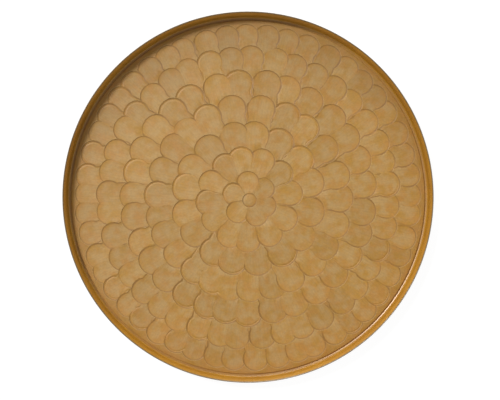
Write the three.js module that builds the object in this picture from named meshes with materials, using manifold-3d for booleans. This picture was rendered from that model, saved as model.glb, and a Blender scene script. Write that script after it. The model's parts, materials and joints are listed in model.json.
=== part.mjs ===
// Round metal tray: a cast floor cut with petals, set in a spun rim with a leaning wall, on felt pads.
// Millimetres, +Z up. The origin is on the table, on the tray's axis.

import * as THREE from 'three';
import { mergeVertices } from 'three/addons/utils/BufferGeometryUtils.js';
import Module from 'manifold-3d';

const wasm = await Module();
wasm.setup();

// Overall
const rimDiameter = 400;          // across the outside of the wall's top edge
const trayHeight = 25;            // table to the top edge
const aroundSteps = 72;           // facets round the tray

// Rim: one ring of sheet, with a ledge under the floor, a coved foot and a leaning wall
const sheet = 1.2;
const wallLean = THREE.MathUtils.degToRad(4);
const cove = 3.5;                 // inside radius where the ledge turns up into the wall
const ledgeWidth = 9;             // how far the ledge reaches under the floor
const arcStep = THREE.MathUtils.degToRad(15);

// Floor: a plate lying on the ledge. Each petal is a shallow scoop in it, like the cut of a round
// gouge that was driven outwards and stopped: deepest at its round tip, running out towards the centre
const plateThickness = 2;
const floorClearance = 0.5;       // plate's edge to the start of the cove
const plainMargin = 3.7;          // bare strip between the last petals and the plate's edge
const petalDepth = 0.9;           // at the tip
const petalSlope = 0.027;         // how steeply a petal's bottom rises towards the centre
const petalLean = 0.02;           // the same sideways: a petal is deeper on its clockwise side
const petalOverlap = 1.2;         // a petal's width over its share of the ring
const rootSpread = 1.25;          // the same at the petal's hidden inner end, over its even taper
const tipRoundness = 0.95;        // length of the round end over half the petal's width
const tipSteps = 10;
const headroom = 3;               // how far the cutting shapes stand out of the plate
const depthRange = 0.3;           // spread of depth from petal to petal
const leanRange = 0.02;           // spread of the sideways slope
const bearingRange = 0.24;        // spread of bearing, over a petal's share of the ring
const reachRange = 1.6;           // spread of the tips' distance from the centre
const budRadius = 8;
const budDepth = 0.6;             // the round cut in the middle
const budLean = 0.03;             // it is deeper towards the front left
const budSteps = 20;
const eye = new THREE.Vector2(1.6, -3.4);   // the bud sits a little off the tray's axis

// Rings of petals from the bud outwards. band is the ring's visible width, start and drift are
// bearings in degrees: the spacing closes up on one side of a ring, at the bearing tight.
const rings = [
  { petals: 6, band: 31.6, start: -17.8, drift: 9.4, tight: -80 },
  { petals: 12, band: 27.3, start: 5.1, drift: 6.0, tight: 71 },
  { petals: 16, band: 26.7, start: 12.4, drift: 3.3, tight: 91 },
  { petals: 24, band: 28.9, start: 5.5, drift: 6.9, tight: 144 },
  { petals: 30, band: 26.7, start: 8.6, drift: 2.8, tight: 136 },
  { petals: 40, band: 25.6, start: 6.2, drift: 1.2, tight: 118 },
  { petals: 49, band: 23.0, start: 1.8, drift: 1.2, tight: 128 },
];

// Felt pads, stuck to the floor's back just inside the ledge
const padCount = 6;
const padDiameter = 20;
const padSteps = 24;
const padSetIn = 8;               // pad's edge to the ledge's edge
const footGap = 2;                // air between the table and the ledge

// Heights and radii that follow from the sizes above
const floorBottom = footGap + sheet;
const plateTop = floorBottom + plateThickness;
const edgeCentre = new THREE.Vector2((rimDiameter - sheet) / 2, trayHeight - sheet / 2);
const coveHeight = floorBottom + cove;
const wallToCove = sheet / 2 + cove;
const wallLength = (edgeCentre.y - coveHeight + wallToCove * Math.sin(wallLean)) / Math.cos(wallLean);
const coveCentre = new THREE.Vector2(
  edgeCentre.x - wallLength * Math.sin(wallLean) - wallToCove * Math.cos(wallLean), coveHeight);
const plateRadius = coveCentre.x - floorClearance;
const ledgeInside = plateRadius - ledgeWidth;
const patternRadius = plateRadius - plainMargin;

// Finishes
const floorFinish = new THREE.MeshStandardMaterial({ color: '#b48e5a', roughness: 0.55, metalness: 0.55 });
const rimFinish = new THREE.MeshStandardMaterial({ color: '#a9721f', roughness: 0.32, metalness: 0.75 });
const feltFinish = new THREE.MeshStandardMaterial({ color: '#3a2c22', roughness: 0.95, metalness: 0 });

// Points along an arc, both ends included
function arc(centre, radius, from, to, steps = Math.ceil(Math.abs(to - from) / arcStep)) {
  return Array.from({ length: steps + 1 }, (_, i) => {
    const angle = from + (to - from) * i / steps;
    return new THREE.Vector2(centre.x + radius * Math.cos(angle), centre.y + radius * Math.sin(angle));
  });
}

// A section in radius and height, turned about the tray's axis
function turned(points, steps = aroundSteps) {
  return new THREE.LatheGeometry(points, steps).rotateX(Math.PI / 2);
}

function named(name, geometry, material) {
  const mesh = new THREE.Mesh(geometry, material);
  mesh.name = name;
  return mesh;
}

// A closed mesh as a solid that can be joined
function solid(geometry) {
  const bare = geometry.clone();
  bare.deleteAttribute('normal');
  bare.deleteAttribute('uv');
  const merged = mergeVertices(bare, 1e-5);
  return new wasm.Manifold(new wasm.Mesh({
    numProp: 3,
    vertProperties: new Float32Array(merged.attributes.position.array),
    triVerts: new Uint32Array(merged.index.array),
  }));
}

function geometryOf(joined) {
  const mesh = joined.getMesh();
  const geometry = new THREE.BufferGeometry();
  geometry.setAttribute('position', new THREE.BufferAttribute(mesh.vertProperties, 3));
  geometry.setIndex(new THREE.BufferAttribute(mesh.triVerts, 1));
  geometry.computeVertexNormals();
  return geometry;
}

// Rim band: the section runs out along the ledge's underside, round the foot, up the wall's outside,
// over its rounded top edge and back down the inside. The edge has a corner at its widest and at its
// highest point, so the tray measures what it should
function rimBand() {
  const section = [
    new THREE.Vector2(ledgeInside, footGap),
    ...arc(coveCentre, cove + sheet, -Math.PI / 2, -wallLean),
    ...arc(edgeCentre, sheet / 2, -wallLean, 0),
    ...arc(edgeCentre, sheet / 2, 0, Math.PI / 2).slice(1),
    ...arc(edgeCentre, sheet / 2, Math.PI / 2, Math.PI - wallLean).slice(1),
    ...arc(coveCentre, cove, -wallLean, -Math.PI / 2),
    new THREE.Vector2(ledgeInside, floorBottom),
    new THREE.Vector2(ledgeInside, footGap),
  ];
  return turned(section);
}

// A repeatable value from -0.5 to 0.5 for the small differences of hand work
function wander(index, salt) {
  const value = Math.sin(index * 12.9898 + salt * 78.233) * 43758.5453;
  return value - Math.floor(value) - 0.5;
}

// A cutting shape from an outline: straight sides, open upwards, with its bottom at the given depth
function cutter(outline, depthAt) {
  const shape = new THREE.Shape(outline);
  const geometry = new THREE.ExtrudeGeometry(shape, { depth: 1, bevelEnabled: false });
  const position = geometry.attributes.position;
  for (let i = 0; i < position.count; i += 1) {
    const top = position.getZ(i) > 0.5;
    const bottom = plateTop - depthAt(position.getX(i), position.getY(i));
    position.setZ(i, top ? plateTop + headroom : bottom);
  }
  return geometry;
}

// One petal, pointing along +X from the ring's centre
function petal({ base, tip, halfWidth, depth, lean }) {
  const round = halfWidth * tipRoundness;
  const shoulder = tip - round;
  const baseHalf = rootSpread * halfWidth * base / shoulder;
  const outline = [new THREE.Vector2(base, baseHalf), new THREE.Vector2(base, -baseHalf)];
  for (let i = 0; i <= tipSteps; i += 1) {
    const angle = (i / tipSteps - 0.5) * Math.PI;
    outline.push(new THREE.Vector2(shoulder + round * Math.cos(angle), halfWidth * Math.sin(angle)));
  }
  return cutter(outline, (x, y) => depth + petalSlope * (x - tip) - lean * y);
}

// Bud: the round cut in the middle
function bud() {
  const outline = arc(new THREE.Vector2(), budRadius, 0, 2 * Math.PI, budSteps).slice(1);
  return cutter(outline, (x, y) => budDepth - budLean * (x + y)).translate(eye.x, eye.y, 0);
}

// Relief floor: the plate less every petal and the bud
function reliefFloor() {
  const plate = new THREE.CylinderGeometry(plateRadius, plateRadius, plateThickness, aroundSteps)
    .rotateX(Math.PI / 2)
    .translate(0, 0, floorBottom + plateThickness / 2);
  const cutters = [solid(bud())];
  const bandsTogether = rings.reduce((sum, ring) => sum + ring.band, 0);
  let innerTip = 0;
  let innerRound = 0;
  let count = 0;
  for (const { petals, band, start, drift, tight } of rings) {
    const tip = innerTip + band * patternRadius / bandsTogether;
    const pitch = 360 / petals;
    const spread = petalOverlap * Math.PI;
    const halfWidth = spread * tip / (petals + spread * tipRoundness);
    const base = Math.max(innerTip - innerRound, budRadius / 2);
    for (let i = 0; i < petals; i += 1) {
      const even = i * pitch;
      const drifted = drift * Math.cos(THREE.MathUtils.degToRad(even - tight));
      const bearing = start + even + drifted + wander(count, 1) * bearingRange * pitch;
      const shape = petal({
        base,
        tip: tip + wander(count, 4) * reachRange,
        halfWidth,
        depth: petalDepth + wander(count, 2) * depthRange,
        lean: petalLean + wander(count, 3) * leanRange,
      });
      const pull = 1 - tip / patternRadius;
      shape.rotateZ(THREE.MathUtils.degToRad(bearing)).translate(eye.x * pull, eye.y * pull, 0);
      cutters.push(solid(shape));
      count += 1;
    }
    innerTip = tip;
    innerRound = halfWidth * tipRoundness;
  }
  return geometryOf(solid(plate).subtract(wasm.Manifold.union(cutters)));
}

function pad() {
  return new THREE.CylinderGeometry(padDiameter / 2, padDiameter / 2, floorBottom, padSteps)
    .rotateX(Math.PI / 2)
    .translate(0, 0, floorBottom / 2);
}

const tray = new THREE.Group();
tray.add(named('relief_floor', reliefFloor(), floorFinish));
tray.add(named('rim_band', rimBand(), rimFinish));
const padCircle = ledgeInside - padSetIn - padDiameter / 2;
for (let i = 0; i < padCount; i += 1) {
  const angle = 2 * Math.PI * i / padCount;
  const felt = named(`pad_${i + 1}`, pad(), feltFinish);
  felt.position.set(padCircle * Math.cos(angle), padCircle * Math.sin(angle), 0);
  tray.add(felt);
}

export default tray;
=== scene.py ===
# %% [markdown]
# # A round metal tray with a petal relief
# The tray is a metal disc, covered in rings of overlapping petals cut into it, that lies in a spun
# rim and stands on six felt pads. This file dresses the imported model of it. Every size and place
# comes from that model, and what is added here is the fine surface: hollowed petals, a smooth rim,
# soft pads, and finishes that hold up when the tray is looked at closely.

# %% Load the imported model
import json
import math

import bmesh
import bpy
from mathutils import Matrix, Vector

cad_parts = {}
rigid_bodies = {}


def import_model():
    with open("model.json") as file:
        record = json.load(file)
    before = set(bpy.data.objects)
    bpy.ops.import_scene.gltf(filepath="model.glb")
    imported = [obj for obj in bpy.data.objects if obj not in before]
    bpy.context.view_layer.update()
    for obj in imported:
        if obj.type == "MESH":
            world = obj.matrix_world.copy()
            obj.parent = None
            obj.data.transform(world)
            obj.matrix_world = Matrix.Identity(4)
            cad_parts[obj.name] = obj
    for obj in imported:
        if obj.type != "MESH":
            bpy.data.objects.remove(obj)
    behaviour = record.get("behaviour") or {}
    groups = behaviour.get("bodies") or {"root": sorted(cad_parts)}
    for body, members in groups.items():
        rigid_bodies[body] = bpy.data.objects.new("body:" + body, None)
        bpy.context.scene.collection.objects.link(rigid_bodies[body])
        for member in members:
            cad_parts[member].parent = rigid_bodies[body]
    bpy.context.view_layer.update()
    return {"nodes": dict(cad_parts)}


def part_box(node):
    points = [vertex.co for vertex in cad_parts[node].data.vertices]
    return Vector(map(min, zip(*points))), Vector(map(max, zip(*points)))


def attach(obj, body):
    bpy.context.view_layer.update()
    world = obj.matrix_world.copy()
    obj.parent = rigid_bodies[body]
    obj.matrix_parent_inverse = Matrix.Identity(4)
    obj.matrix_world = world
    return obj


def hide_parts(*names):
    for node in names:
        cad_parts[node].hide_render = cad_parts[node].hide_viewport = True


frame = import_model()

MM = 0.001
print("nodes:", ", ".join(sorted(frame["nodes"])))

# %% [markdown]
# ## Camera
# The tray is seen from straight above. The camera stands 1.25 m over the rim, close enough that the
# inner face of the leaning wall still shows all round. It stands a little to the right of the
# tray's axis and a little in front of it, because the tray is not quite in the middle of the picture.

# %% Camera
CAMERA_PLACE = Vector((2.17 * MM, -3.13 * MM, 1.275))
LENS = 83.55                      # mm, for a frame 36 mm wide

camera_data = bpy.data.cameras.new("camera")
camera_data.sensor_width = 36
camera_data.lens = LENS
camera = bpy.data.objects.new("camera", camera_data)
camera.location = CAMERA_PLACE
bpy.context.scene.collection.objects.link(camera)
bpy.context.scene.camera = camera
bpy.context.scene.view_settings.view_transform = "Standard"
print("camera", round(CAMERA_PLACE.z, 3), "m over the table, lens", LENS, "mm")

# %% [markdown]
# ## Helpers for modelling by hand
# A modelling operator acts on whatever is selected. So each step below starts by leaving edit mode
# with nothing selected, and then picks vertices, edges or faces by where they are or where they face.

# %% Helpers for modelling by hand
NEAR = 0.01 * MM                  # places closer than this count as the same


def start_clean():
    if bpy.context.mode != "OBJECT":
        bpy.ops.object.mode_set(mode="OBJECT")
    bpy.ops.object.select_all(action="DESELECT")


def take(piece):
    """Leaves edit mode and selects this piece alone."""
    start_clean()
    piece.select_set(True)
    bpy.context.view_layer.objects.active = piece


def edit(piece):
    take(piece)
    bpy.ops.object.mode_set(mode="EDIT")


def pick(piece, kind, test):
    """In edit mode, selects the vertices, edges or faces of that kind that pass the test."""
    bpy.ops.mesh.select_mode(type=kind)
    bpy.ops.mesh.select_all(action="DESELECT")
    mesh = bmesh.from_edit_mesh(piece.data)
    elements = {"VERT": mesh.verts, "EDGE": mesh.edges, "FACE": mesh.faces}[kind]
    for element in elements:
        if test(element):
            element.select_set(True)
    mesh.select_flush_mode()
    bmesh.update_edit_mesh(piece.data)


def close_up(piece):
    """Merges doubles, points the faces outwards and leaves edit mode."""
    bpy.ops.mesh.select_all(action="SELECT")
    bpy.ops.mesh.remove_doubles(threshold=0.002 * MM)
    bpy.ops.mesh.normals_make_consistent(inside=False)
    start_clean()


def apply_modifier(piece, modifier):
    take(piece)
    bpy.ops.object.modifier_apply(modifier=modifier.name)


def finish_smooth(piece, degrees):
    """Smooth shading, but sharp where two faces meet at more than this angle."""
    take(piece)
    bpy.ops.object.shade_smooth_by_angle(angle=math.radians(degrees))


def is_level(edge):
    return abs(edge.verts[0].co.z - edge.verts[1].co.z) < NEAR


def report(piece):
    mesh = bmesh.new()
    mesh.from_mesh(piece.data)
    open_edges = sum(1 for edge in mesh.edges if len(edge.link_faces) != 2)
    mesh.free()
    print(f"{piece.name}: {len(piece.data.polygons)} faces, {open_edges} open edges")


# %% [markdown]
# ## Sizes
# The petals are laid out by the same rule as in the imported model, so each fine petal lies on its
# plain one. The fine ones are a little wider and flatter, so that they meet like scales. Each ring
# has a number of petals, a visible band, and a first bearing. The spacing closes up a little on one
# side of a ring, and every petal strays slightly from its place, as the work of a hand does. The
# stray is a fixed function of the petal's number, so it never changes.

# %% Sizes
floor_low, floor_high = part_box("relief_floor")
rim_low, rim_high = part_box("rim_band")
pad_low, pad_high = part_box("pad_1")

PLATE_RADIUS = floor_high.x
PLATE_BOTTOM = floor_low.z
PLATE_THICKNESS = floor_high.z - floor_low.z
PLATE_TOP = floor_high.z
PLAIN_MARGIN = 3.7 * MM           # bare strip between the last petals and the plate's edge
PATTERN_RADIUS = PLATE_RADIUS - PLAIN_MARGIN
EYE = Vector((1.6 * MM, -3.4 * MM, 0))      # the bud sits a little off the tray's axis

PETAL_SLOPE = 0.02                # how steeply a petal's bottom rises towards the centre
PETAL_LEAN = 0.01                 # the same sideways: a petal is deeper on its clockwise side
PETAL_OVERLAP = 1.28              # a petal's width over its share of the ring
ROOT_SPREAD = 1.25                # the same at the hidden inner end, over the petal's even taper
TIP_ROUNDNESS = 0.95              # length of the round end over half the petal's width
HEADROOM = 3 * MM                 # how far the punches stand out of the plate
DEPTH_RANGE = 0.22 * MM           # spread of depth from petal to petal
LEAN_RANGE = 0.014                # spread of the sideways slope
BEARING_RANGE = 0.24              # spread of bearing, over a petal's share of the ring
REACH_RANGE = 1.6 * MM            # spread of the tips' distance from the centre
BUD_RADIUS = 8 * MM

# band is a ring's visible width, over the sum of them all; start, drift and tight are in degrees
RINGS = [
    {"petals": 6, "band": 31.6, "start": -17.8, "drift": 9.4, "tight": -80},
    {"petals": 12, "band": 27.3, "start": 5.1, "drift": 6.0, "tight": 71},
    {"petals": 16, "band": 26.7, "start": 12.4, "drift": 3.3, "tight": 91},
    {"petals": 24, "band": 28.9, "start": 5.5, "drift": 6.9, "tight": 144},
    {"petals": 30, "band": 26.7, "start": 8.6, "drift": 2.8, "tight": 136},
    {"petals": 40, "band": 25.6, "start": 6.2, "drift": 1.2, "tight": 118},
    {"petals": 49, "band": 23.0, "start": 1.8, "drift": 1.2, "tight": 128},
]


def wander(index, salt):
    """A repeatable value from -0.5 to 0.5."""
    value = math.sin(index * 12.9898 + salt * 78.233) * 43758.5453
    return value - math.floor(value) - 0.5


# The salts: each property of a petal strays on its own
BEARING, DEPTH, LEAN, REACH, SECOND, TONE = 1, 2, 3, 4, 5, 7

petals_together = sum(ring["petals"] for ring in RINGS)
print("plate radius", round(PLATE_RADIUS / MM, 2), "mm, petals", petals_together)

# %% [markdown]
# ## Rim
# The rim is spun from sheet: a flat ledge that the floor lies on, a coved foot, a leaning wall and
# a rounded top edge. It could be cut from a block, but a spun rim is a sheet that has been bent, so
# it is modelled like that. The sheet's section is bent round the cove and drawn up into the wall.
# Its end is chamfered on the inside and rounded over, because the real edge looks thinner than the
# sheet. Then the outline is spun about the tray's axis.

# %% Rim
SHEET = 1.2 * MM
WALL_LEAN = math.radians(4)
COVE = 3.5 * MM                   # inside radius where the ledge turns up into the wall
COVE_STEPS = 9
LEDGE_WIDTH = 9 * MM              # how far the ledge reaches under the floor
FLOOR_CLEARANCE = 0.5 * MM        # plate's edge to the start of the cove
EDGE_SHARE = 0.45                 # the top edge's thickness over the sheet's
EDGE_ROUNDING = 0.4               # how much of that each rounded corner takes
SPIN_STEPS = 288                  # facets round the tray

ledge_inside = PLATE_RADIUS - LEDGE_WIDTH
cove_centre = Vector((PLATE_RADIUS + FLOOR_CLEARANCE, 0, rim_low.z + SHEET + COVE))
edge_centre = Vector((rim_high.x - SHEET / 2, 0, rim_high.z - SHEET / 2))
wall_rise = edge_centre.z - cove_centre.z + (SHEET / 2 + COVE) * math.sin(WALL_LEAN)
wall_length = wall_rise / math.cos(WALL_LEAN)
wall_way = Vector((math.sin(WALL_LEAN), 0, math.cos(WALL_LEAN)))


def rim():
    start_clean()
    ledge = cove_centre.x - ledge_inside
    bpy.ops.mesh.primitive_plane_add(size=1)
    band = bpy.context.object
    band.name = "rim"
    edit(band)
    bpy.ops.transform.resize(value=(ledge, SHEET, 1))
    bpy.ops.transform.rotate(value=math.pi / 2, orient_axis="X", center_override=(0, 0, 0))
    middle = Vector((ledge_inside + ledge / 2, 0, rim_low.z + SHEET / 2))
    bpy.ops.transform.translate(value=middle)
    # bend the ledge's outer end up round the cove
    pick(band, "VERT", lambda vertex: vertex.co.x > cove_centre.x - NEAR)
    turn = math.pi / 2 - WALL_LEAN
    bpy.ops.mesh.spin(steps=COVE_STEPS, angle=turn, center=cove_centre, axis=(0, 1, 0))
    # draw the wall up
    bpy.ops.mesh.extrude_region_move(TRANSFORM_OT_translate={"value": wall_way * wall_length})
    # chamfer the inside of the top edge and round it over
    top_corners = edge_centre.z - SHEET
    pick(band, "VERT", lambda vertex: vertex.co.z > top_corners)
    bpy.ops.mesh.extrude_region_move(TRANSFORM_OT_translate={"value": wall_way * SHEET / 2})
    near_end = 0.4 * SHEET
    pick(band, "VERT", lambda vertex: (vertex.co - edge_centre).dot(wall_way) > near_end)
    outer_corner = edge_centre + (wall_way + Vector((wall_way.z, 0, -wall_way.x))) * SHEET / 2
    bpy.ops.transform.resize(value=(EDGE_SHARE, 1, EDGE_SHARE), center_override=outer_corner)
    rounding = EDGE_ROUNDING * EDGE_SHARE * SHEET
    bpy.ops.mesh.bevel(offset=rounding, segments=4, affect="VERTICES", profile=0.5)
    # keep the outline alone and spin it about the axis
    bpy.ops.mesh.select_all(action="SELECT")
    bpy.ops.mesh.dissolve_faces()
    bpy.ops.mesh.select_all(action="SELECT")
    bpy.ops.mesh.delete(type="ONLY_FACE")
    bpy.ops.mesh.select_all(action="SELECT")
    bpy.ops.mesh.spin(steps=SPIN_STEPS, angle=2 * math.pi, center=(0, 0, 0), axis=(0, 0, 1))
    close_up(band)
    finish_smooth(band, degrees=50)
    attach(band, "root")
    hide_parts("rim_band")
    report(band)
    return band


rim_piece = rim()

# %% [markdown]
# ## Petals
# A petal is one cut of a round gouge: a shallow hollow with a round end, where the gouge stopped and
# left a small wall. It could be pressed into the plate point by point, but it is easier to model the
# punch that would leave this hollow, and to cut with it. One punch is modelled for each ring, because
# the petals get wider from ring to ring. It is modelled face up, as a disc drawn out into a tongue,
# raised, stepped in by insets over the foot of the wall, drawn together over the hollow, and then
# turned over. Some petals have a second line inside their edge, where the gouge was set twice, so
# each ring has two punches.

# %% One petal
PUNCH_SIDES = 20                  # sides of the disc that a punch starts as
# The angle from the tip, round the disc, at which the tongue begins
TONGUE_CORNER = math.radians(144)
WALL_DEPTH = 0.06 * MM            # the upright side of a cut, before its ring's share of SINK

# Steps in over the face, in mm: how far in, and how far deeper
WALL_FOOT = ((0.3, 0.1), (0.9, 0.09))
SECOND_LINE = ((0.7, 0.05), (0.2, 0.15), (0.25, -0.12))
# Steps over the hollow: shrunk to this share, and how far deeper in mm
HOLLOW = ((0.85, 0.13), (0.7, 0.11), (0.5, 0.06))


def step_in(steps):
    for run, deeper in steps:
        bpy.ops.mesh.inset(thickness=run * MM, depth=deeper * MM)


def petal_punch(name, half_width, shoulder, base, second_line):
    """One petal's punch along +X from the ring's centre, at the plate's top."""
    foot = PLATE_TOP - HEADROOM
    centre = Vector((shoulder, 0, foot))
    start_clean()
    bpy.ops.mesh.primitive_circle_add(
        vertices=PUNCH_SIDES, radius=half_width, fill_type="NGON", location=centre)
    punch = bpy.context.object
    punch.name = name
    bpy.ops.object.transform_apply(location=True, rotation=True, scale=True)
    edit(punch)
    bpy.ops.transform.resize(value=(TIP_ROUNDNESS, 1, 1), center_override=centre)
    # the innermost part of the disc becomes the tongue's narrow end
    inner = shoulder + half_width * TIP_ROUNDNESS * math.cos(TONGUE_CORNER)
    corner_half = half_width * math.sin(TONGUE_CORNER)
    back = inner + 0.1 * MM
    between = 0.9 * corner_half
    pick(punch, "VERT", lambda vertex: vertex.co.x < back and abs(vertex.co.y) < between)
    bpy.ops.mesh.dissolve_verts()
    pick(punch, "VERT", lambda vertex: vertex.co.x < back)
    base_half = ROOT_SPREAD * half_width * base / shoulder
    bpy.ops.transform.translate(value=(base - inner, 0, 0))
    bpy.ops.transform.resize(value=(1, base_half / corner_half, 1), center_override=(base, 0, foot))
    # raise it, step in over the curve at the wall's foot, and draw it together over the hollow
    bpy.ops.mesh.select_mode(type="FACE")
    bpy.ops.mesh.select_all(action="SELECT")
    wall = HEADROOM + WALL_DEPTH
    bpy.ops.mesh.extrude_region_move(TRANSFORM_OT_translate={"value": (0, 0, wall)})
    step_in(WALL_FOOT)
    if second_line:
        step_in(SECOND_LINE)
    heart = Vector((shoulder - 0.1 * half_width, 0, foot + wall))
    for shrink, deeper in HOLLOW:
        bpy.ops.mesh.extrude_region_move(TRANSFORM_OT_translate={"value": (0, 0, deeper * MM)})
        bpy.ops.transform.resize(value=(shrink, shrink, 1), center_override=heart)
    bpy.ops.mesh.poke()
    # turn it over, so that it cuts from above
    bpy.ops.mesh.select_all(action="SELECT")
    bpy.ops.transform.rotate(value=math.pi, orient_axis="X", center_override=(0, 0, PLATE_TOP))
    close_up(punch)
    return punch


# %% [markdown]
# ## Laying out the rings
# Each petal is cut by a copy of its ring's punch. The cut runs out towards the centre, where the
# gouge came in, is a little deeper on its clockwise side, and is turned to its bearing. All cuts are
# sunk further than the punch's own low wall, so that next to nothing of the plate's old face is left
# between them. The rings are drawn slightly towards the bud, which is not quite on the tray's axis.
# Every copy keeps three things for the finish: a map of across and along the petal, for marks that
# follow it, a map of how far a point is from the petal's outline, for the dark line there, and a
# tone of its own.

# %% Laying out the rings
# How much lower the cuts lie, ring by ring from the bud outwards
SINK = [share * MM for share in (0.5, 0.5, 0.5, 0.5, 0.5, 0.4, 0.3)]
SECOND_LINE_FROM = 0.3            # petals that draw more than this have the second line


def off_outline(place, sides):
    """How far a place is from the nearest of the outline's sides."""
    distances = []
    for start, end in sides:
        share = (place - start).dot(end - start) / (end - start).length_squared
        distances.append((place - start.lerp(end, min(max(share, 0), 1))).length)
    return min(distances)


def set_tone(mesh, value):
    """The same tone on every face."""
    tone = mesh.attributes.new("tone", "FLOAT", "FACE")
    for face in tone.data:
        face.value = value


def mark_petal(punch, half_width, shoulder):
    """Maps a petal twice: across and along it in half widths, and millimetres in from its outline."""
    mesh = punch.data
    top = PLATE_TOP + HEADROOM - NEAR
    sides = [[mesh.vertices[i].co.xy for i in edge.vertices] for edge in mesh.edges
             if all(mesh.vertices[i].co.z > top for i in edge.vertices)]
    inwards = [off_outline(vertex.co.xy, sides) / MM for vertex in mesh.vertices]
    grain = mesh.uv_layers.new(name="petal_grain")
    border = mesh.uv_layers.new(name="petal_border")
    for loop in mesh.loops:
        place = mesh.vertices[loop.vertex_index].co
        grain.data[loop.index].uv = (place.y / half_width, (place.x - shoulder) / half_width)
        border.data[loop.index].uv = (inwards[loop.vertex_index], 0)


def lay_petal(model, group, count, bearing, tip, reach, pull, sink):
    """One copy of the ring's punch, in its place."""
    punch = bpy.data.objects.new(f"petal_{count}", model.data.copy())
    group.objects.link(punch)
    deeper = sink + wander(count, DEPTH) * DEPTH_RANGE
    lean = PETAL_LEAN + wander(count, LEAN) * LEAN_RANGE
    for vertex in punch.data.vertices:
        if vertex.co.z < PLATE_TOP:
            vertex.co.z -= deeper + PETAL_SLOPE * (vertex.co.x - tip) - lean * vertex.co.y
    turned = Matrix.Rotation(math.radians(bearing), 4, "Z")
    punch.data.transform(Matrix.Translation(EYE * pull) @ turned @ Matrix.Translation((reach, 0, 0)))
    set_tone(punch.data, wander(count, TONE) + 0.5)


def lay_rings(group):
    """Fills the group with the punches of all rings."""
    bands_together = sum(ring["band"] for ring in RINGS)
    inner_tip = 0.0
    inner_round = 0.0
    count = 0
    for number, ring in enumerate(RINGS, 1):
        petals = ring["petals"]
        tip = inner_tip + ring["band"] * PATTERN_RADIUS / bands_together
        pitch = 360 / petals
        spread = PETAL_OVERLAP * math.pi
        half_width = spread * tip / (petals + spread * TIP_ROUNDNESS)
        shoulder = tip - half_width * TIP_ROUNDNESS
        base = max(inner_tip - inner_round, BUD_RADIUS / 2)
        models = []
        for second_line in (False, True):
            model = petal_punch(f"punch_{number}", half_width, shoulder, base, second_line)
            mark_petal(model, half_width, shoulder)
            models.append(model)
        for i in range(petals):
            even = i * pitch
            drifted = ring["drift"] * math.cos(math.radians(even - ring["tight"]))
            bearing = ring["start"] + even + drifted + wander(count, BEARING) * BEARING_RANGE * pitch
            model = models[wander(count, SECOND) > SECOND_LINE_FROM]
            reach = wander(count, REACH) * REACH_RANGE
            lay_petal(
                model, group, count, bearing, tip, reach, 1 - tip / PATTERN_RADIUS, SINK[number - 1])
            count += 1
        for model in models:
            bpy.data.objects.remove(model)
        inner_tip = tip
        inner_round = half_width * TIP_ROUNDNESS
        wide = 2 * half_width / MM
        print(f"ring {number}: {petals} petals, {wide:.1f} mm wide, tip at {tip / MM:.1f} mm")


petal_group = bpy.data.collections.new("petals")
bpy.context.scene.collection.children.link(petal_group)
lay_rings(petal_group)

# %% [markdown]
# ## Bud
# In the middle sits a small round bud, cut a little deeper towards the front left. A plain drill
# mark would be flat. This punch is a cylinder whose face is inset and let down ring by ring, so it
# leaves a groove with a low dome in it, and the dome catches the light.

# %% Bud
BUD_DEPTH = 0.6 * MM
BUD_LEAN = 0.03                   # how steeply it gets deeper towards the front left
BUD_TONE = 0.6
BUD_STEPS = ((0.5, 0.15), (0.8, -0.1), (1.4, -0.2), (1.6, -0.15), (1.6, -0.05))   # in and deeper, mm


def bud():
    start_clean()
    foot = PLATE_TOP - HEADROOM
    depth = HEADROOM + BUD_DEPTH
    bpy.ops.mesh.primitive_cylinder_add(
        vertices=32, radius=BUD_RADIUS, depth=depth, location=EYE + Vector((0, 0, foot + depth / 2)))
    punch = bpy.context.object
    punch.name = "bud"
    bpy.ops.object.transform_apply(location=True, rotation=True, scale=True)
    edit(punch)
    pick(punch, "FACE", lambda face: face.normal.z > 0.9)
    step_in(BUD_STEPS)
    bpy.ops.mesh.poke()
    bpy.ops.mesh.select_all(action="SELECT")
    bpy.ops.transform.rotate(
        value=math.pi, orient_axis="X", center_override=EYE + Vector((0, 0, PLATE_TOP)))
    close_up(punch)
    for vertex in punch.data.vertices:
        if vertex.co.z < PLATE_TOP:
            vertex.co.z += BUD_LEAN * (vertex.co.x - EYE.x + vertex.co.y - EYE.y)
    grain = punch.data.uv_layers.new(name="petal_grain")
    border = punch.data.uv_layers.new(name="petal_border")
    for loop in punch.data.loops:
        place = punch.data.vertices[loop.vertex_index].co.xy - EYE.xy
        grain.data[loop.index].uv = (place.y / BUD_RADIUS, place.x / BUD_RADIUS)
        border.data[loop.index].uv = ((BUD_RADIUS - place.length) / MM, 0)
    set_tone(punch.data, BUD_TONE)
    for home in list(punch.users_collection):
        home.objects.unlink(punch)
    petal_group.objects.link(punch)


bud()

# %% [markdown]
# ## Relief floor
# The plate is a disc with softened edges, and all the punches are cut out of it at once with a
# boolean difference. Where two petals overlap the deeper one wins, and the faces that a punch leaves
# carry its map and its tone along. What is left is one closed body, as the real floor is.

# %% Relief floor
PLATE_EDGE = 0.8 * MM
OLD_FACE_GRAIN = (0, 0.85)        # what is left between petals looks like a petal's border,
OLD_FACE_BORDER = (9, 0)          # and lies too far from any outline to have a dark line


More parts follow.
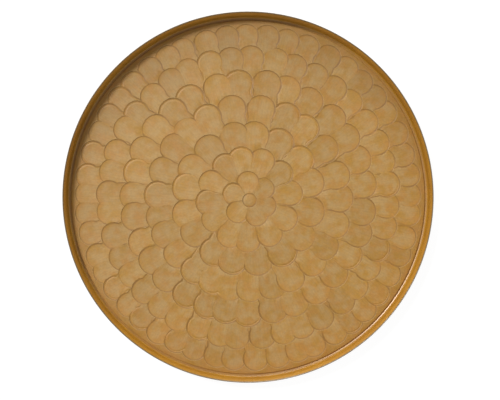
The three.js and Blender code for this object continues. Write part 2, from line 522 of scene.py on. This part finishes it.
def relief_floor():
    start_clean()
    bpy.ops.mesh.primitive_cylinder_add(
        vertices=SPIN_STEPS, radius=PLATE_RADIUS, depth=PLATE_THICKNESS,
        location=(0, 0, PLATE_BOTTOM + PLATE_THICKNESS / 2))
    plate = bpy.context.object
    plate.name = "petal_floor"
    bpy.ops.object.transform_apply(location=True, rotation=True, scale=True)
    edit(plate)
    pick(plate, "EDGE", is_level)
    bpy.ops.mesh.bevel(offset=PLATE_EDGE, segments=4, affect="EDGES")
    close_up(plate)
    plate.data.uv_layers[0].name = "petal_grain"
    plate.data.uv_layers.new(name="petal_border")
    for i in range(len(plate.data.loops)):
        plate.data.uv_layers["petal_grain"].data[i].uv = OLD_FACE_GRAIN
        plate.data.uv_layers["petal_border"].data[i].uv = OLD_FACE_BORDER
    set_tone(plate.data, 0.0)
    cut = plate.modifiers.new("cut", "BOOLEAN")
    cut.operation = "DIFFERENCE"
    cut.operand_type = "COLLECTION"
    cut.collection = petal_group
    cut.solver = "MANIFOLD"
    apply_modifier(plate, cut)
    for operand in list(petal_group.objects):
        bpy.data.objects.remove(operand)
    bpy.data.collections.remove(petal_group)
    edit(plate)
    close_up(plate)
    finish_smooth(plate, degrees=38)
    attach(plate, "root")
    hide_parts("relief_floor")
    report(plate)
    return plate


floor_piece = relief_floor()

# %% [markdown]
# ## Felt pads
# Six discs of wool felt keep the metal off the table. A disc stamped out of felt has a rounded,
# slightly swollen edge and a back that isn't perfectly even. One pad is made from a cylinder by a
# bevel and insets, and five copies of its mesh stand round the circle.

# %% Felt pads
PAD_RADIUS = (pad_high.x - pad_low.x) / 2
PAD_CIRCLE = (pad_high.x + pad_low.x) / 2
PAD_THICKNESS = pad_high.z - pad_low.z
PAD_COUNT = 6
PAD_SIDES = 64
PAD_TRIM = 0.15 * MM              # how much narrower the pad is before its edge swells
PAD_SWELL = 1.012                 # how much wider the swollen edge is than that
PAD_ROUNDING = 0.6 * MM
PAD_BORDER = 0.9 * MM             # a ring of faces that gives the rounding its room
PAD_RING = 3 * MM                 # width of the two rings of faces inside it


def first_pad():
    start_clean()
    bpy.ops.mesh.primitive_cylinder_add(
        vertices=PAD_SIDES, radius=PAD_RADIUS - PAD_TRIM, depth=PAD_THICKNESS,
        location=(PAD_CIRCLE, 0, PAD_THICKNESS / 2))
    pad = bpy.context.object
    pad.name = "felt_pad_1"
    bpy.ops.object.transform_apply(location=True, rotation=True, scale=True)
    edit(pad)
    pick(pad, "FACE", lambda face: abs(face.normal.z) > 0.9)
    bpy.ops.mesh.inset(thickness=PAD_BORDER)
    middle = Vector((PAD_CIRCLE, 0))
    outer = PAD_RADIUS - 2 * PAD_TRIM
    pick(pad, "EDGE", lambda edge: is_level(edge)
         and all((vertex.co.xy - middle).length > outer for vertex in edge.verts))
    bpy.ops.mesh.bevel(offset=PAD_ROUNDING, segments=4, affect="EDGES")
    pick(pad, "FACE", lambda face: abs(face.normal.z) < 0.1)
    bpy.ops.transform.resize(value=(PAD_SWELL, PAD_SWELL, 1), center_override=(PAD_CIRCLE, 0, 0))
    pick(pad, "FACE", lambda face: abs(face.normal.z) > 0.9 and len(face.verts) > 8)
    bpy.ops.mesh.inset(thickness=PAD_RING)
    bpy.ops.mesh.inset(thickness=PAD_RING)
    bpy.ops.mesh.poke()
    close_up(pad)
    finish_smooth(pad, degrees=50)
    return pad


pad_model = first_pad()
pads = [pad_model]
for number in range(2, PAD_COUNT + 1):
    pad = bpy.data.objects.new(f"felt_pad_{number}", pad_model.data.copy())
    bpy.context.scene.collection.objects.link(pad)
    pad.data.transform(Matrix.Rotation(2 * math.pi * (number - 1) / PAD_COUNT, 4, "Z"))
    pads.append(pad)
for number, pad in enumerate(pads, 1):
    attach(pad, "root")
    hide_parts(f"pad_{number}")
    report(pad)
print(len(pads), "pads,", round(PAD_THICKNESS / MM, 2), "mm thick")

# %% [markdown]
# ## Materials: small tools
# A material is a chain of nodes. These helpers add a node and set its sockets in one line, so that
# the chains below can be read from top to bottom.

# %% Materials: small tools
def node(tree, kind, **inputs):
    """Adds a node. Values are set on its sockets, and an output socket is linked."""
    made = tree.nodes.new(kind)
    for name, value in inputs.items():
        numbered = name[0] == "i" and name[1:].isdigit()
        socket = made.inputs[int(name[1:]) if numbered else name.replace("_", " ")]
        if isinstance(value, bpy.types.NodeSocket):
            tree.links.new(value, socket)
        else:
            socket.default_value = value
    return made


def math_node(tree, operation, first, second=0.0, clamp=False):
    made = node(tree, "ShaderNodeMath", i0=first, i1=second)
    made.operation = operation
    made.use_clamp = clamp
    return made.outputs[0]


def mix_colour(tree, factor, first, second, blend="MIX"):
    made = tree.nodes.new("ShaderNodeMix")
    made.data_type = "RGBA"
    made.blend_type = blend
    for index, value in ((0, factor), (6, first), (7, second)):
        if isinstance(value, bpy.types.NodeSocket):
            tree.links.new(value, made.inputs[index])
        else:
            made.inputs[index].default_value = value
    return made.outputs[2]


def map_range(tree, value, low, high, to_low=0.0, to_high=1.0):
    made = node(tree, "ShaderNodeMapRange", i0=value, i1=low, i2=high, i3=to_low, i4=to_high)
    made.interpolation_type = "SMOOTHSTEP"
    return made.outputs[0]


def new_group(name, inputs, outputs):
    """A shader node group with named inputs (kind, value) and outputs (kind)."""
    tree = bpy.data.node_groups.new(name, "ShaderNodeTree")
    for label, (kind, value) in inputs.items():
        socket = tree.interface.new_socket(label, in_out="INPUT", socket_type=kind)
        socket.default_value = value
    for label, kind in outputs.items():
        tree.interface.new_socket(label, in_out="OUTPUT", socket_type=kind)
    return tree, tree.nodes.new("NodeGroupInput"), tree.nodes.new("NodeGroupOutput")


def place_group(tree, group, **inputs):
    made = tree.nodes.new("ShaderNodeGroup")
    made.node_tree = group
    for name, value in inputs.items():
        made.inputs[name].default_value = value
    return made


def new_material(name):
    material = bpy.data.materials.new(name)
    material.use_nodes = True
    return material, material.node_tree, material.node_tree.nodes["Principled BSDF"]


def seen_directly(tree):
    """1 for the rays that carry the background to the camera, 0 for those that light the tray."""
    rays = tree.nodes.new("ShaderNodeLightPath")
    seen = math_node(tree, "MAXIMUM", rays.outputs["Is Camera Ray"], rays.outputs["Is Glossy Ray"])
    return math_node(tree, "MAXIMUM", seen, rays.outputs["Is Transmission Ray"])


def dress(piece, material):
    """Gives a piece this material alone."""
    piece.data.materials.clear()
    piece.data.materials.append(material)
    print(f"{piece.name}: {material.name}, {len(material.node_tree.nodes)} nodes")


def describe(group):
    given = [item.name for item in group.interface.items_tree if item.in_out == "OUTPUT"]
    print(f"group {group.name} gives {', '.join(given)}")


FLOAT = "NodeSocketFloat"

# %% [markdown]
# ## Patina and painted shade
# The foot of every step and every corner is darkened, partly as patina that stays where a cloth
# can't reach and partly as painted shade. The Ambient Occlusion node measures that, because a point
# in a corner sees less of the open space round it. The same node turned inside out finds the proud
# edges, which are lightened partly as rubbed wear and partly as a painted glint. The group turns
# both into masks, and breaks the dark one up a little, as hand rubbing does.

# %% Patina and painted shade group
PROUD_REACH = 0.9 * MM            # how far into the metal a proud edge is looked for
UNEVEN = 0.16                     # how unevenly the patina and painted shade are broken up


def patina_and_shade_group():
    tree, given, out = new_group(
        "patina_and_shade",
        {"Reach": (FLOAT, 2 * MM), "Start": (FLOAT, 0.95), "Full": (FLOAT, 0.55)},
        {"Mask": FLOAT, "WornAndGlint": FLOAT})
    # dark in corners: partly patina, partly painted shade
    corner = node(tree, "ShaderNodeAmbientOcclusion", Distance=given.outputs["Reach"])
    corner.samples = 12
    corner.only_local = True
    # proud edges: partly rubbed wear, partly a painted glint
    proud = node(tree, "ShaderNodeAmbientOcclusion", Distance=PROUD_REACH)
    proud.samples = 8
    proud.only_local = True
    proud.inside = True
    tree.links.new(map_range(tree, proud.outputs["AO"], 0.6, 0.93, 1.0, 0.0), out.inputs["WornAndGlint"])
    place = tree.nodes.new("ShaderNodeTexCoord")
    uneven = node(tree, "ShaderNodeTexNoise", Vector=place.outputs["Object"], Scale=90.0, Detail=3.0)
    shift = math_node(tree, "MULTIPLY_ADD", uneven.outputs[0], UNEVEN)
    shift.node.inputs[2].default_value = -UNEVEN / 2
    openness = math_node(tree, "ADD", corner.outputs["AO"], shift)
    mask = map_range(tree, openness, 0.0, 1.0, 1.0, 0.0)
    tree.links.new(given.outputs["Start"], mask.node.inputs[2])
    tree.links.new(given.outputs["Full"], mask.node.inputs[1])
    tree.links.new(mask, out.inputs["Mask"])
    return tree


patina_and_shade = patina_and_shade_group()
describe(patina_and_shade)

# %% [markdown]
# ## Clouding
# A sprayed or wiped lacquer is never one colour. Broad soft clouds drift between a warmer and a
# greener gold, and a finer grain lies over them. Both metals use this, with different strengths.

# %% Clouding group
def clouding_group():
    tree, given, out = new_group(
        "clouding",
        {"Size": (FLOAT, 40.0), "Grain": (FLOAT, 900.0)},
        {"Warm": FLOAT, "Light": FLOAT, "Fine": FLOAT})
    place = tree.nodes.new("ShaderNodeTexCoord").outputs["Object"]
    warm = node(tree, "ShaderNodeTexNoise", Vector=place, Scale=given.outputs["Size"], Detail=3.0)
    # the second clouds are read from another part of the noise, so that they don't follow the first
    away = node(tree, "ShaderNodeMapping", Vector=place, Location=(0.7, 0.3, 0.1))
    light = node(tree, "ShaderNodeTexNoise",
                 Vector=away.outputs[0], Scale=given.outputs["Size"], Detail=4.0)
    fine = node(tree, "ShaderNodeTexNoise", Vector=place, Scale=given.outputs["Grain"], Detail=2.0)
    tree.links.new(warm.outputs[0], out.inputs["Warm"])
    tree.links.new(light.outputs[0], out.inputs["Light"])
    tree.links.new(fine.outputs[0], out.inputs["Fine"])
    return tree


clouding = clouding_group()
describe(clouding)

# %% [markdown]
# ## Petal masks
# The middle of each petal gets a greyish painted sheen, its border is a warmer gold, and a dark line
# of old lacquer lies along its outline. The petal's two maps say where that is. The first gives the
# place across the petal in half widths, and past the shoulder round the tip in the same measure, for
# the border and the sheen. The second gives the distance from the outline, for the line and for the
# patina and painted shade at the wall's foot. The line moves inwards at the petal's sides, where the
# next petal has cut its outline away.

# %% Petal masks group
SEAM = (0.65, 0.95)               # half widths from its middle at which a neighbour has cut a petal
LINE = (0.4, 2.0)                 # mm from the outline: the dark line fades out between these
WALL = (0.05, 0.3)                # the same for the patina and painted shade at the wall's foot


def petal_masks_group():
    tree, given, out = new_group(
        "petal_sheen_line_and_shade",
        {"From": (FLOAT, 0.45), "To": (FLOAT, 1.0)},
        {"Edge": FLOAT, "Line": FLOAT, "Wall": FLOAT})
    grain = tree.nodes.new("ShaderNodeUVMap")
    grain.uv_map = "petal_grain"
    place = node(tree, "ShaderNodeSeparateXYZ", Vector=grain.outputs[0])
    past = math_node(tree, "MAXIMUM", place.outputs[1], 0.0)
    both = node(tree, "ShaderNodeCombineXYZ", i0=place.outputs[0], i1=past)
    outwards = node(tree, "ShaderNodeVectorMath", Vector=both.outputs[0])
    outwards.operation = "LENGTH"
    # Edge: near the petal's border, where the painted sheen fades out
    edge = map_range(tree, outwards.outputs["Value"], 0.0, 1.0)
    tree.links.new(given.outputs["From"], edge.node.inputs[1])
    tree.links.new(given.outputs["To"], edge.node.inputs[2])
    tree.links.new(edge, out.inputs["Edge"])
    border = tree.nodes.new("ShaderNodeUVMap")
    border.uv_map = "petal_border"
    inwards = node(tree, "ShaderNodeSeparateXYZ", Vector=border.outputs[0]).outputs[0]
    aside = math_node(tree, "ABSOLUTE", place.outputs[0])
    overlapped = map_range(tree, aside, *SEAM)
    from_seam = math_node(tree, "SUBTRACT", inwards, overlapped)
    tree.links.new(map_range(tree, from_seam, *LINE, 1.0, 0.0), out.inputs["Line"])
    # Wall: close to the outline, for patina and painted shade at the wall's foot
    tree.links.new(map_range(tree, inwards, *WALL, 1.0, 0.0), out.inputs["Wall"])
    return tree


petal_masks = petal_masks_group()
describe(petal_masks)

# %% [markdown]
# ## Floor finish
# The floor is finished in a matt antique gold. Its colour is paint-like more than mirror-like, so
# the shader isn't metallic, and a raised IOR gives it a soft white sheen. A greyish painted sheen
# lies in patches over the middle of each petal. Fine marks run along each petal, each petal has a
# slightly different tone, and the foot of every step and every corner are darkened, partly as patina
# and partly as painted shade. The proud edges are lightened, partly as rubbed wear and partly as a
# painted glint. The dark line is broken up by the clouding, because a painted line that is the same
# all round looks drawn.

# %% Floor finish
IN_CORNERS = 0.35                 # how strongly corners and the feet of walls are darkened: patina and painted shade
TONES = (0.95, 1.05)              # the spread of each small difference in lightness


def floor_finish():
    material, tree, shader = new_material("antique_gold_floor")
    clouds = place_group(tree, clouding, Size=110.0, Grain=1500.0)
    dark = place_group(tree, patina_and_shade, Reach=2.2 * MM, Start=0.93, Full=0.45)
    petal = place_group(tree, petal_masks, From=0.45, To=1.0)
    tone = tree.nodes.new("ShaderNodeAttribute")
    tone.attribute_name = "tone"
    grain = tree.nodes.new("ShaderNodeUVMap")
    grain.uv_map = "petal_grain"
    along = node(tree, "ShaderNodeMapping", Vector=grain.outputs[0], Scale=(12.0, 0.7, 1.0))
    streaks = node(tree, "ShaderNodeTexNoise", Vector=along.outputs[0], Scale=1.0, Detail=3.0)

    gold = (0.39, 0.19, 0.010, 1)
    copper = (0.415, 0.188, 0.018, 1)
    # a greyish painted sheen, laid in patches over the middle of each petal
    painted_sheen = (0.415, 0.253, 0.08, 1)
    colour = mix_colour(tree, map_range(tree, clouds.outputs["Warm"], 0.35, 0.65), gold, copper)
    sheen_patches = map_range(tree, clouds.outputs["Light"], 0.32, 0.68, 0.1, 0.85)
    middle = math_node(tree, "SUBTRACT", 1.0, math_node(tree, "MULTIPLY", petal.outputs["Edge"], 0.8))
    colour = mix_colour(tree, math_node(tree, "MULTIPLY", sheen_patches, middle), colour, painted_sheen)
    petal_tone = map_range(tree, tone.outputs["Fac"], 0.0, 1.0, *TONES)
    streak_tone = map_range(tree, streaks.outputs[0], 0.3, 0.7, *TONES)
    spot = tree.nodes.new("ShaderNodeTexCoord").outputs["Object"]
    mottle = node(tree, "ShaderNodeTexNoise", Vector=spot, Scale=420.0, Detail=2.0)
    mottle_tone = map_range(tree, mottle.outputs[0], 0.3, 0.7, *TONES)
    level = math_node(tree, "MULTIPLY", streak_tone, mottle_tone)
    level = math_node(tree, "MULTIPLY", petal_tone, level)
    shade = node(tree, "ShaderNodeCombineColor", i0=level, i1=level, i2=level)
    colour = mix_colour(tree, 1.0, colour, shade.outputs[0], "MULTIPLY")
    # the colour of old lacquer, also used as painted shade at the feet of walls and in corners
    old_lacquer_and_shade = (0.20, 0.088, 0.004, 1)
    broken = map_range(tree, clouds.outputs["Light"], 0.35, 0.6, 0.36, 0.66)
    line = math_node(tree, "MULTIPLY", petal.outputs["Line"], broken)
    # patina and painted shade at each wall's foot and in corners, on top of the dark line
    foot = math_node(tree, "MULTIPLY", petal.outputs["Wall"], IN_CORNERS)
    corner = math_node(tree, "MULTIPLY", dark.outputs["Mask"], IN_CORNERS)
    line = math_node(tree, "MAXIMUM", math_node(tree, "MAXIMUM", line, foot), corner)
    colour = mix_colour(tree, line, colour, old_lacquer_and_shade)
    # proud edges lightened: partly rubbed wear, partly a painted glint
    rubbed_and_glint = (0.56, 0.37, 0.12, 1)
    colour = mix_colour(tree, math_node(tree, "MULTIPLY", dark.outputs["WornAndGlint"], 0.7), colour, rubbed_and_glint)
    tree.links.new(colour, shader.inputs["Base Color"])
    shader.inputs["IOR"].default_value = 1.65
    rough = map_range(tree, clouds.outputs["Light"], 0.3, 0.7, 0.5, 0.6)
    tree.links.new(rough, shader.inputs["Roughness"])

    height = math_node(tree, "MULTIPLY", streaks.outputs[0], 0.5)
    height = math_node(tree, "ADD", height, math_node(tree, "MULTIPLY", clouds.outputs["Fine"], 0.35))
    bump = node(tree, "ShaderNodeBump", Strength=0.35, Distance=0.15 * MM, Height=height)
    tree.links.new(bump.outputs[0], shader.inputs["Normal"])
    return material


dress(floor_piece, floor_finish())

# %% [markdown]
# ## Rim finish
# The rim is smoother and glossier, under an amber lacquer. The lacquer is a clear coat, so its
# reflections stay white, and at a low angle it mirrors the floor beside it. Spinning leaves very
# fine lines round the metal, which are made by reading the radius and height instead of the plain
# coordinates. Its corners get a little patina and painted shade, and the last millimetre of the wall
# is darkened as a painted shade, so that the top edge stays dark.

# %% Rim finish
LIP_FROM = rim_high.z - 1.1 * MM
LIP_FULL = rim_high.z - 0.5 * MM


def rim_finish():
    material, tree, shader = new_material("amber_lacquered_rim")
    clouds = place_group(tree, clouding, Size=30.0, Grain=700.0)
    dark = place_group(tree, patina_and_shade, Reach=3.0 * MM, Start=0.8, Full=0.3)
    spot = tree.nodes.new("ShaderNodeTexCoord").outputs["Object"]
    place = node(tree, "ShaderNodeSeparateXYZ", Vector=spot)
    across = node(tree, "ShaderNodeCombineXYZ", i0=place.outputs[0], i1=place.outputs[1])
    radius = node(tree, "ShaderNodeVectorMath", Vector=across.outputs[0])
    radius.operation = "LENGTH"
    section = node(tree, "ShaderNodeCombineXYZ", i0=radius.outputs["Value"], i2=place.outputs[2])
    lines = node(tree, "ShaderNodeTexNoise", Vector=section.outputs[0], Scale=4000.0, Detail=2.0)

    deep = (0.41, 0.18, 0.002, 1)
    pale = (0.47, 0.22, 0.004, 1)
    colour = mix_colour(tree, map_range(tree, clouds.outputs["Warm"], 0.3, 0.7), deep, pale)
    # a little patina and painted shade in the rim's corners
    old_lacquer_and_shade = (0.20, 0.09, 0.012, 1)
    colour = mix_colour(tree, math_node(tree, "MULTIPLY", dark.outputs["Mask"], 0.15), colour, old_lacquer_and_shade)
    # painted shade on the last millimetre of the wall, so that the top edge stays dark
    painted_edge_shade = (0.13, 0.07, 0.009, 1)
    edge_shade_mask = map_range(tree, place.outputs[2], LIP_FROM, LIP_FULL, 0.0, 0.9)
    colour = mix_colour(tree, edge_shade_mask, colour, painted_edge_shade)
    tree.links.new(colour, shader.inputs["Base Color"])
    shader.inputs["Metallic"].default_value = 0.1
    rough = map_range(tree, clouds.outputs["Light"], 0.3, 0.7, 0.27, 0.33)
    tree.links.new(rough, shader.inputs["Roughness"])
    shader.inputs["Coat Weight"].default_value = 1.0
    shader.inputs["Coat Roughness"].default_value = 0.5
    shader.inputs["Coat IOR"].default_value = 1.6
    shader.inputs["IOR"].default_value = 1.6
    bump = node(tree, "ShaderNodeBump", Strength=0.1, Distance=0.012 * MM, Height=lines.outputs[0])
    tree.links.new(bump.outputs[0], shader.inputs["Normal"])
    return material


dress(rim_piece, rim_finish())

# %% [markdown]
# ## Felt
# Felt is pressed wool: matt, with short fibres that catch light at the edge, so it has a strong
# sheen and a colour that is mottled at the size of the fibres.

# %% Felt
def felt():
    material, tree, shader = new_material("brown_felt")
    clouds = place_group(tree, clouding, Size=400.0, Grain=2500.0)
    dark_wool = (0.028, 0.017, 0.010, 1)
    light_wool = (0.075, 0.048, 0.030, 1)
    fibres = map_range(tree, clouds.outputs["Fine"], 0.3, 0.7)
    colour = mix_colour(tree, fibres, dark_wool, light_wool)
    tree.links.new(colour, shader.inputs["Base Color"])
    rough = map_range(tree, clouds.outputs["Warm"], 0.3, 0.7, 0.9, 1.0)
    tree.links.new(rough, shader.inputs["Roughness"])
    shader.inputs["Sheen Weight"].default_value = 0.4
    height = math_node(tree, "ADD", clouds.outputs["Fine"], clouds.outputs["Warm"])
    bump = node(tree, "ShaderNodeBump", Strength=0.8, Distance=0.25 * MM, Height=height)
    tree.links.new(bump.outputs[0], shader.inputs["Normal"])
    return material


felt_material = felt()
for pad in pads:
    dress(pad, felt_material)

# %% [markdown]
# ## Studio
# The table is a plain pale board. The main light is a soft box up to the left and behind, which
# throws the wall's shadow onto the petals on that side. A low, broad fill comes from behind, and
# brightens the near wall's inner face, which the high light only grazes. To the camera and in
# reflections the board and the room's walls are white and its ceiling is grey. To all other rays
# they are plain greys, so the tray keeps its plain light and its shadows.

# %% Studio
def softbox(name, bearing, off_vertical, distance, size, watts):
    """An area light that faces the tray's centre."""
    lamp = bpy.data.lights.new(name, "AREA")
    lamp.shape = "DISK"
    lamp.size = size
    lamp.energy = watts
    box = bpy.data.objects.new(name, lamp)
    level = math.sin(math.radians(off_vertical))
    way = Vector((level * math.cos(math.radians(bearing)), level * math.sin(math.radians(bearing)),
                  math.cos(math.radians(off_vertical))))
    box.location = way * distance
    box.rotation_euler = way.to_track_quat("Z", "Y").to_euler()
    bpy.context.scene.collection.objects.link(box)


softbox("key_light", bearing=139, off_vertical=34, distance=6.0, size=1.25, watts=208)
softbox("fill_light", bearing=98, off_vertical=74, distance=2.4, size=1.4, watts=33)

BOARD_SIZE = 6                    # m, a side
BOARD_GREY = 0.12                 # what the board gives back of the lights
BOARD_WHITE = 0.93                # how bright it looks to the camera besides
ROOM_LIGHT = 0.48                 # the even light from all round
CEILING_GREY = 0.12               # what the gloss mirrors from above, so that it doesn't turn milky
CEILING_FROM, CEILING_FULL = 0.25, 0.7      # sines of the heights where it begins and is full


def grey(level):
    return (level, level, level, 1)


def board():
    start_clean()
    bpy.ops.mesh.primitive_plane_add(size=BOARD_SIZE, location=(0, 0, 0))
    made = bpy.context.object
    made.name = "board"
    material, tree, shader = new_material("pale_board")
    shader.inputs["Base Color"].default_value = grey(BOARD_GREY)
    shader.inputs["Roughness"].default_value = 0.9
    shader.inputs["Emission Color"].default_value = grey(1)
    glow = math_node(tree, "MULTIPLY", seen_directly(tree), BOARD_WHITE)
    tree.links.new(glow, shader.inputs["Emission Strength"])
    dress(made, material)


board()


def studio_world():
    world = bpy.data.worlds.new("studio")
    bpy.context.scene.world = world
    world.use_nodes = True
    tree = world.node_tree
    background = tree.nodes["Background"]
    sky = tree.nodes.new("ShaderNodeTexCoord").outputs["Generated"]
    way = node(tree, "ShaderNodeSeparateXYZ", Vector=sky)
    ceiling = map_range(tree, way.outputs[2], CEILING_FROM, CEILING_FULL)
    sweep = mix_colour(tree, ceiling, grey(1), grey(CEILING_GREY))
    colour = mix_colour(tree, seen_directly(tree), grey(ROOM_LIGHT), sweep)
    tree.links.new(colour, background.inputs["Color"])
    background.inputs["Strength"].default_value = 1.0


studio_world()
print("lights:", ", ".join(light.name for light in bpy.data.lights))
